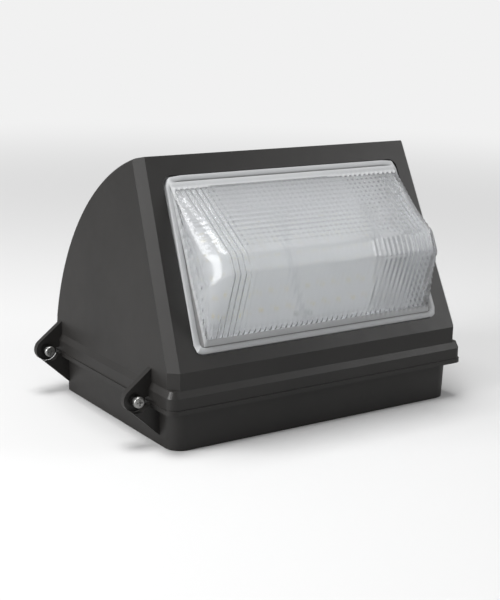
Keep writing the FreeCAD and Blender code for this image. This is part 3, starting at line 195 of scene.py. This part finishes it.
def powder_coat(name, low, high):
    """Baked powder: cloudy colour and shine over an orange-peel grain."""
    material, nodes, links, surface = new_nodes(name)
    blotches = grain(nodes, links, 9.0, 4.0)
    peel = grain(nodes, links, 900.0, 2.0)
    shaded(nodes, links, surface, blotches.outputs["Fac"], low, high)
    varied_shine(nodes, links, surface, grain(nodes, links, 60.0).outputs["Fac"], 0.36, 0.48)
    surface.inputs["Specular IOR Level"].default_value = 0.5
    bumped(nodes, links, surface, peel.outputs["Fac"], 0.25, 0.00025)
    return material


CAST_EDGE = 0.0009


def softened(node, name):
    """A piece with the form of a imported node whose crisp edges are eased, as cast ones are."""
    form = bmesh.new()
    form.from_mesh(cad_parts[node].data)
    bmesh.ops.remove_doubles(form, verts=form.verts, dist=0.00001)
    bmesh.ops.dissolve_limit(form, angle_limit=math.radians(0.5), verts=form.verts,
                             edges=form.edges)
    mesh = bpy.data.meshes.new(name)
    form.to_mesh(mesh)
    form.free()
    piece = bpy.data.objects.new(name, mesh)
    bpy.context.scene.collection.objects.link(piece)
    easing = piece.modifiers.new("eased_edges", "BEVEL")
    easing.width = CAST_EDGE
    easing.segments = 2
    easing.limit_method = "ANGLE"
    easing.angle_limit = math.radians(12.0)
    easing.harden_normals = False
    easing.use_clamp_overlap = True
    for face in mesh.polygons:
        face.use_smooth = True
    smooth = piece.modifiers.new("even_faces", "WEIGHTED_NORMAL")
    smooth.keep_sharp = True
    return piece


bronze_coat = powder_coat("bronze_powder_coat", (0.019, 0.018, 0.017), (0.028, 0.0265, 0.025))
for node, body in (("back_box", "box"), ("hood", "hood")):
    casting = softened(node, "cast_" + node)
    casting.data.materials.append(bronze_coat)
    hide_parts(node)
    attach(casting, body)


def dress(node, material):
    """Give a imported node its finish."""
    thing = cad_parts[node]
    thing.data.materials.clear()
    thing.data.materials.append(material)


dress("conduit_plugs", bronze_coat)


# ---- rubber seals --------------------------------------------------------------------
# Black moulded rubber: a ring in the groove of the box and a washer under each conduit plug.
# The frame between the glass and the hood is pale grey silicone. All are pressed in place.
def soft_seal(name, low, high, scale, rough, relief):
    """Dull rubber or silicone with a dusty bloom."""
    material, nodes, links, surface = new_nodes(name)
    dust = grain(nodes, links, scale)
    shaded(nodes, links, surface, dust.outputs["Fac"], low, high)
    surface.inputs["Roughness"].default_value = rough
    bumped(nodes, links, surface, dust.outputs["Fac"], relief, 0.0002)
    return material


rubber = soft_seal("black_rubber", (0.010, 0.010, 0.011), (0.024, 0.024, 0.025),
                   140.0, 0.75, 0.3)
for seal in ("box_gasket", "conduit_plug_seals"):
    dress(seal, rubber)
dress("lens_gasket", soft_seal("pale_silicone", (0.58, 0.58, 0.57), (0.68, 0.68, 0.67),
                               60.0, 0.55, 0.2))


# ---- screws, pins, nuts and clips ----------------------------------------------------
# Zinc-plated steel: machine screws with cross recesses, hexagon nuts at the hinge and the
# flat clips that hold the glass. Bright but not polished. The hinge washers are blackened.
def bare_metal(name, low, high, rough_low, rough_high):
    """Metal with a fine cloud in its colour and shine."""
    material, nodes, links, surface = new_nodes(name)
    cloud = grain(nodes, links, 220.0, 5.0)
    shaded(nodes, links, surface, cloud.outputs["Fac"], low, high)
    surface.inputs["Metallic"].default_value = 1.0
    varied_shine(nodes, links, surface, cloud.outputs["Fac"], rough_low, rough_high)
    bumped(nodes, links, surface, cloud.outputs["Fac"], 0.15, 0.0001)
    return material


zinc = bare_metal("zinc_plate", (0.42, 0.42, 0.41), (0.58, 0.58, 0.57), 0.28, 0.42)
blackened = bare_metal("blackened_steel", (0.035, 0.034, 0.033), (0.06, 0.058, 0.056),
                       0.35, 0.5)
for fastener in ("carrier_screws", "board_screws", "driver_screws", "terminal_fixings",
                 "lens_clips", "lens_clip_screws", "closing_ring_front", "closing_ring_rear",
                 "hinge_pins", "hinge_nuts", "closing_screw_front", "closing_screw_rear"):
    dress(fastener, zinc)
dress("hinge_washers", blackened)


# ---- prismatic glass -----------------------------------------------------------------
# Pressed clear glass in one piece, sized here in millimetres: a flat rim and a hollow body of
# two slopes with a flat crest between. Prisms run across its upper face, flutes up and down
# its ends, and they cross into studs at the right.
slope_foot = Vector((0.0, -0.1215, 0.079))
slope_up = Vector((0.0, 0.0890, 0.1890)).normalized()
slope_out = Vector((0.0, -slope_up.z, slope_up.y))


def in_slope(x, along, out):
    """A point given in millimetres across, up and out of the sloped front."""
    return Vector((x / 1000.0, 0.0, 0.0)) + slope_foot + slope_up * (along / 1000.0) \
        + slope_out * (out / 1000.0)


GLASS_HALF, END_ACROSS, END_DOWN = 139.0, 16.0, 28.0
CREST_LOW, CREST_HIGH, CREST_OUT = 76.0, 96.0, 53.0
FOOT_ALONG, HEAD_ALONG, FACE_PROUD = 21.0, 181.5, 2.0
GLASS_WALL, FOLD, FOLD_EASE = 5.0, 5.0, 0.10
TURN_STEPS, END_STEPS = 6, 12
RIM_HALF, RIM_LEAN, MILKY_BELOW = 139.0, 4.16, 6.5
FLUTE_PITCH, PRISM_PITCH, TICK_PITCH, TICK_DEPTH = 6.2, 5.2, 10.0, 1.0
PRISM_DEPTH, STUD_DEPTH, LEFT_STUD_DEPTH, FLUTE_DEPTH, CREST_FLUTE = 0.55, 1.1, 0.8, 1.2, 1.0
INNER_RIPPLE, INNER_FLUTE, MARK_DEPTH, MARK_HALF, MARK_SHIFT = 0.10, 0.8, 1.3, 104.0, 6.0
STUDS_RIGHT, STUDS_LEFT, FLUTES_RIGHT = (42.0, 72.0), (96.0, 112.0), (40.0, 62.0)
GRID_RIGHT, FLUTES_LEFT = (96.0, 112.0), (88.0, 112.0)
# The groove slot holds a darker grey glass: painted shade in the crease between the rim and the
# body.
CLEAR_SLOT, MILKY_SLOT, SHADED_GROOVE_SLOT, HAZED_SLOT = 0, 1, 2, 3


def glass_profile(inset, counts):
    """Points up the middle of the glass with the way each one faces, and its distance up."""
    corners = [Vector((FOOT_ALONG, FACE_PROUD)), Vector((CREST_LOW, CREST_OUT)),
               Vector((CREST_HIGH, CREST_OUT)), Vector((HEAD_ALONG, FACE_PROUD))]
    facings = []
    for start, end in zip(corners, corners[1:]):
        run = (end - start).normalized()
        facings.append(Vector((-run.y, run.x)))
    spots = []
    for part, count in enumerate(counts):
        start, end = corners[part], corners[part + 1]
        for step in range(count + (part == 2)):
            share = step / count
            point = start.lerp(end, share)
            near_start = (point - start).length
            near_end = (end - point).length
            facing = facings[part].copy()
            ease = 0.0
            if part > 0 and near_start < FOLD:
                facing = facing.lerp(facings[part - 1], 0.5 * (1 - near_start / FOLD))
                ease = (1 - near_start / FOLD) ** 2 * FOLD * FOLD_EASE
            if part < 2 and near_end < FOLD:
                facing = facing.lerp(facings[part + 1], 0.5 * (1 - near_end / FOLD))
                ease = max(ease, (1 - near_end / FOLD) ** 2 * FOLD * FOLD_EASE)
            facing.normalize()
            spots.append((point - facing * (inset + ease), facing, part, share))
    return spots


def wave(distance, pitch):
    """A row of round ribs: 0 in the grooves and 1 on the ribs."""
    return 0.5 - 0.5 * math.cos(2 * math.pi * distance / pitch)


def faded(value, start, end):
    """A soft step from 0 at the start to 1 at the end."""
    share = min(1.0, max(0.0, (value - start) / (end - start)))
    return share * share * (3 - 2 * share)


def glass_skin(mesh, inset, ribs, steps_across, profile):
    """One skin of the glass as a grid: up the profile and from end to end."""
    right_end = [(1, "turn", step / TURN_STEPS) for step in range(1, TURN_STEPS + 1)] \
        + [(1, "end", step / END_STEPS) for step in range(1, END_STEPS + 1)]
    columns = [(-1, kind, amount) for side, kind, amount in reversed(right_end)]
    columns += [(2.0 * step / steps_across - 1.0, "face", 0.0)
                for step in range(steps_across + 1)]
    columns += right_end
    flat_half = GLASS_HALF - inset
    rows = []
    for point, facing, part, share in profile:
        row = []
        height = max(point.y, 0.0)
        turn = min(END_ACROSS - inset, height * 0.45 + 0.4)
        drop = min(END_DOWN - inset, height * 0.55 + 0.4)
        for side, kind, amount in columns:
            sign = 1 if side > 0 else -1
            if kind == "face":
                x, at = side * (flat_half - turn), point.copy()
            else:
                angle = math.pi / 2 * (amount if kind == "turn" else 1.0)
                flat = 1.0 - 0.1 * math.sin(2 * angle)
                x = sign * (flat_half - turn + turn * math.sin(angle) * flat)
                fallen = drop * (1 - math.cos(angle) * flat)
                at = Vector((point.x, point.y - fallen * facing.y))
                if kind == "end":
                    low = min(at.y, FACE_PROUD)
                    at = Vector((at.x, at.y + (low - at.y) * amount))
                    x -= sign * TICK_DEPTH * wave(at.x, TICK_PITCH) ** 3 \
                        * faded(amount, 0.35, 0.6) * faded(1.0 - amount, 0.02, 0.1) \
                        * faded(height, 8.0, 16.0)
            if kind != "end":
                at = at + facing * ribs(x, at.x, part, share)
            row.append(mesh.verts.new(in_slope(x, at.x, at.y)))
        rows.append(row)
    return rows


def outer_ribs(x, along, part, share):
    """Prisms across the upper face, which cross with flutes into studs towards the right."""
    fade_in = faded(share, 0.03, 0.08) * faded(1 - share, 0.02, 0.06)
    across = wave(x, FLUTE_PITCH)
    if part == 2:
        prisms = wave(along - CREST_HIGH, PRISM_PITCH)
        studs = 1.0 - (1.0 - prisms) * (1.0 - across)
        right, left = faded(x, *STUDS_RIGHT), faded(-x, *STUDS_LEFT)
        return -(PRISM_DEPTH * prisms * (1 - right - left) + STUD_DEPTH * studs * right
                 + LEFT_STUD_DEPTH * studs * left) * fade_in
    if part == 0:
        prisms = wave(along - FOOT_ALONG, PRISM_PITCH)
        flutes = FLUTE_DEPTH * across * faded(x, *FLUTES_RIGHT) * faded(1 - share, 0.0, 0.06)
        return -(flutes + FLUTE_DEPTH * prisms * faded(x, *GRID_RIGHT)) * fade_in
    return -CREST_FLUTE * across * faded(x, *FLUTES_RIGHT)


def inner_ribs(x, along, part, share):
    """Flutes that stand out towards the left end, and a row of marks above the lower rim."""
    depth = INNER_RIPPLE + INNER_FLUTE * faded(-x, *FLUTES_LEFT)
    if part == 0:
        middle = faded(MARK_HALF - abs(x + MARK_SHIFT), 0.0, 10.0)
        depth += MARK_DEPTH * middle * faded(share, 0.085, 0.105) \
            * faded(0.145 - share, 0.0, 0.02)
    return depth * wave(x, FLUTE_PITCH)


def bridged(mesh, rows, flip):
    """Faces between the rows of a skin."""
    for low, high in zip(rows, rows[1:]):
        for left in range(len(low) - 1):
            ring = [low[left], low[left + 1], high[left + 1], high[left]]
            mesh.faces.new(ring[::-1] if flip else ring)


def border(rows):
    """The edge of a skin, once round, from the foot of its left end."""
    return rows[0] + [row[-1] for row in rows[1:-1]] + rows[-1][::-1] \
        + [row[0] for row in rows[-2:0:-1]]


def rim_ring(mesh, out, half_foot, half_head, foot, head, corner, places):
    """A ring on the rim with rounded corners, one point for each point of the border."""
    middle_along = (foot + head) / 2
    points = []
    for x, along in places:
        share = (along - foot) / (head - foot)
        half = half_foot + (half_head - half_foot) * share
        x = max(-half, min(half, x))
        along = max(foot, min(head, along))
        over_x = abs(x) - (half - corner)
        over_y = abs(along - middle_along) - ((head - foot) / 2 - corner)
        if over_x > 0 and over_y > 0:
            length = math.hypot(over_x, over_y)
            if length > corner:
                x -= math.copysign(over_x * (1 - corner / length), x)
                along -= math.copysign(over_y * (1 - corner / length), along - middle_along)
        points.append(mesh.verts.new(in_slope(x, along, out)))
    return points


def glass_rim(mesh, edge, inset, flip, rings):
    """Rings of faces from the border of a skin out over the rim."""
    places = []
    for vertex in edge:
        offset = vertex.co - slope_foot
        places.append((vertex.co.x * 1000.0, offset.dot(slope_up) * 1000.0))
    middle_along, half_length = (FOOT_ALONG + HEAD_ALONG) / 2, (HEAD_ALONG - FOOT_ALONG) / 2
    before = edge
    for reach, out, corner in rings:
        foot, head = FOOT_ALONG - reach, HEAD_ALONG + reach
        stretched = []
        for x, along in places:
            at_side = abs(x) / (GLASS_HALF - inset) > 0.9
            at_edge = abs(along - middle_along) / half_length > 0.97
            x_out = x * (GLASS_HALF + reach + 3) / (GLASS_HALF - inset) if at_side else x
            along_out = (foot if along < middle_along else head) if at_edge else along
            stretched.append((x_out, along_out))
        half = RIM_HALF + reach
        ring = rim_ring(mesh, out, half + RIM_LEAN, half - RIM_LEAN, foot, head, corner,
                        stretched)
        for index in range(len(before)):
            after = (index + 1) % len(before)
            face = [before[index], before[after], ring[after], ring[index]]
            mesh.faces.new(face[::-1] if flip else face)
        before = ring
    return before


# The groove rings make a narrow valley between the body and the rim, and their faces take a darker
# grey glass as painted shade.
# Each ring of the rim is its reach past the body, its height out and its corner radius.
GROOVE_RINGS = ((0.3, 1.0, 6.0), (0.9, 1.0, 6.5))
RIM_RINGS = ((1.2, 1.7, 7.0), (1.8, 2.0, 7.5), (5.8, 2.0, 8.5), (6.5, 1.3, 9.0),
             (6.5, -5.5, 9.0), (13.4, -5.5, 14.0), (13.4, -10.5, 14.0))
INNER_RINGS = ((-4.0, -4.0, 5.0), (-4.0, -10.5, 5.0))

form = bmesh.new()
outer_rows = glass_skin(form, 0.0, outer_ribs, 360, glass_profile(0.0, (52, 10, 84)))
bridged(form, outer_rows, False)
outer_faces = len(form.faces)
inner_rows = glass_skin(form, GLASS_WALL, inner_ribs, 360,
                        glass_profile(GLASS_WALL, (40, 4, 20)))
bridged(form, inner_rows, True)
inner_faces = len(form.faces)
groove_end = glass_rim(form, border(outer_rows), 0.0, True, GROOVE_RINGS)
shaded_groove_faces = len(form.faces)
outer_end = glass_rim(form, groove_end, 0.0, True, RIM_RINGS)
inner_end = glass_rim(form, border(inner_rows), GLASS_WALL, False, INNER_RINGS)
loops = []
for loop in (outer_end, inner_end):
    loops += [form.edges.get((loop[index - 1], loop[index])) for index in range(len(loop))]
bmesh.ops.bridge_loops(form, edges=loops)
form.faces.ensure_lookup_table()
for face in form.faces[:outer_faces]:
    height = (face.calc_center_median() - slope_foot).dot(slope_out) * 1000.0
    face.material_index = MILKY_SLOT if height < MILKY_BELOW else CLEAR_SLOT
for face in form.faces[outer_faces:inner_faces]:
    face.material_index = HAZED_SLOT
# The faces of the groove between the body and the rim get the darker grey glass: painted shade in
# the crease.
for face in form.faces[inner_faces:shaded_groove_faces]:
    face.material_index = SHADED_GROOVE_SLOT
for face in form.faces[shaded_groove_faces:]:
    face.material_index = MILKY_SLOT
bmesh.ops.recalc_face_normals(form, faces=form.faces)
glass_mesh = bpy.data.meshes.new("prismatic_glass")
form.to_mesh(glass_mesh)
form.free()
for face in glass_mesh.polygons:
    face.use_smooth = True
glass = bpy.data.objects.new("prismatic_glass", glass_mesh)
bpy.context.scene.collection.objects.link(glass)
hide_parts("glass_refractor")
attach(glass, "hood")


def pressed_glass(name, colour, clear, smooth=0.11, dull=0.17):
    """Glass with a share of milky body and a slight ripple from the press."""
    material, nodes, links, surface = new_nodes(name)
    surface.inputs["Base Color"].default_value = colour
    surface.inputs["Transmission Weight"].default_value = clear
    surface.inputs["IOR"].default_value = 1.47
    ripple = grain(nodes, links, 55.0)
    varied_shine(nodes, links, surface, ripple.outputs["Fac"], smooth, dull)
    bumped(nodes, links, surface, ripple.outputs["Fac"], 0.12, 0.0008)
    return material


for finish in (pressed_glass("pressed_glass", (0.97, 0.98, 1.0, 1.0), 0.80),
               pressed_glass("ground_rim", (0.60, 0.61, 0.62, 1.0), 0.12, 0.36, 0.46),
               # A darker grey for the groove between rim and body: painted shade in the crease.
               pressed_glass("rim_groove_painted_shade", (0.34, 0.34, 0.34, 1.0), 0.12),
               pressed_glass("hazed_inside", (0.96, 0.98, 1.0, 1.0), 0.86, 0.15, 0.22)):
    glass_mesh.materials.append(finish)


# ---- reflector pan -------------------------------------------------------------------
# A white-painted sheet funnel behind the glass, screwed on under four of the clips, that
# throws the light of the boards forward.
def white_enamel(name, low, high, rough):
    """Glossy white paint with a faint cloud and grain."""
    material, nodes, links, surface = new_nodes(name)
    cloud = grain(nodes, links, 40.0)
    shaded(nodes, links, surface, cloud.outputs["Fac"], low, high)
    surface.inputs["Roughness"].default_value = rough
    bumped(nodes, links, surface, grain(nodes, links, 700.0).outputs["Fac"], 0.12, 0.0002)
    return material


enamel = white_enamel("white_enamel", (0.86, 0.86, 0.85), (0.90, 0.90, 0.90), 0.35)
dress("reflector_pan", enamel)


# ---- light source --------------------------------------------------------------------
# Two white circuit boards with rows of square yellow chips, screwed to a bent aluminium
# carrier that stands on four posts of the box.
board_face = white_enamel("board_mask", (0.82, 0.84, 0.83), (0.87, 0.88, 0.87), 0.3)
phosphor = white_enamel("chip_phosphor", (0.84, 0.72, 0.34), (0.90, 0.80, 0.44), 0.25)
sheet_metal = bare_metal("mill_aluminium", (0.60, 0.60, 0.61), (0.72, 0.72, 0.73), 0.3, 0.45)
for node in ("led_board_left", "led_board_right"):
    dress(node, board_face)
for node in ("led_chips_left", "led_chips_right"):
    dress(node, phosphor)
dress("led_carrier", sheet_metal)


# ---- driver and wiring ---------------------------------------------------------------
# A folded aluminium driver case with black plastic ends, a cream terminal block with brass
# screws, a grounding screw, and plastic-covered leads between them.
def moulded(name, low, high, rough):
    """Moulded plastic with a fine grain."""
    material, nodes, links, surface = new_nodes(name)
    cloud = grain(nodes, links, 90.0)
    shaded(nodes, links, surface, cloud.outputs["Fac"], low, high)
    surface.inputs["Roughness"].default_value = rough
    bumped(nodes, links, surface, grain(nodes, links, 1200.0).outputs["Fac"], 0.2, 0.0001)
    return material


dress("driver_case", bare_metal("driver_aluminium", (0.50, 0.51, 0.52), (0.62, 0.63, 0.64),
                                0.32, 0.5))
dress("driver_end_caps", moulded("black_moulding", (0.018, 0.018, 0.019), (0.03, 0.03, 0.031),
                                 0.5))
dress("terminal_block", moulded("cream_moulding", (0.66, 0.63, 0.52), (0.74, 0.71, 0.60), 0.5))
brass = bare_metal("turned_brass", (0.60, 0.44, 0.20), (0.76, 0.58, 0.30), 0.25, 0.4)
for node in ("terminal_screws", "ground_screw", "ground_ring"):
    dress(node, brass)
white_cover = moulded("white_cover", (0.76, 0.76, 0.74), (0.84, 0.84, 0.82), 0.4)
black_cover = moulded("black_cover", (0.015, 0.015, 0.015), (0.03, 0.03, 0.03), 0.4)
for node in ("output_lead_left", "output_lead_right", "supply_lead_neutral"):
    dress(node, white_cover)
dress("supply_lead_line", black_cover)
